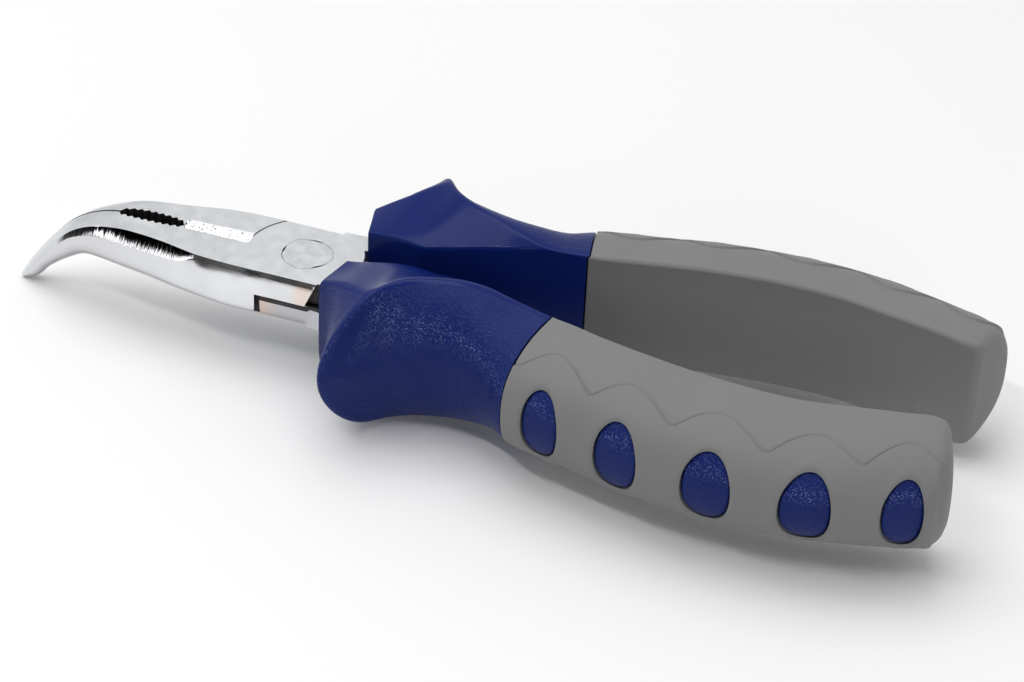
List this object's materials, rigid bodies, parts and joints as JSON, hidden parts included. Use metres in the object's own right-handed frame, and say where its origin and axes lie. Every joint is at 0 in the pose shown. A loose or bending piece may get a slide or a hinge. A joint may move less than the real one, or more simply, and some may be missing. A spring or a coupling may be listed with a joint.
{
  "type": "needle nose pliers",
  "caption": "Needle nose pliers with jaws bent downwards, pipe grip, wire cutter and two-colour moulded handles, opening on one rivet.",
  "frame": {"origin": "centre of the rivet on the flat top face of the joint", "axes": "+X from the pivot to the handle ends, +Y towards the handle of the upper half, +Z out of the flat top face, along the pivot axis; the bent nose points towards -X and -Z"},
  "size_m": [0.2007, 0.0722, 0.0331],
  "materials": {
    "jaw_steel": "forged tool steel, satin chrome plated, flat faces ground, sides polished",
    "rivet_steel": "ground flush with the joint",
    "handle_core": "hard moulded plastic, smooth inside faces, fine spark-eroded grain outside",
    "soft_grip": "soft matt thermoplastic elastomer"
  },
  "bodies": {
    "lower": {"lower_half": "jaw_steel", "rivet": "rivet_steel", "near_handle_core": "handle_core", "near_handle_grip": "soft_grip"},
    "upper": {"upper_half": "jaw_steel", "far_handle_core": "handle_core", "far_handle_grip": "soft_grip"}
  },
  "joints": [
    {"name": "pivot", "type": "hinge", "parent": "lower", "child": "upper", "pos_m": [0, 0, -0.005], "axis": [0, 0, 1], "range_deg": [0, 32]}
  ]
}
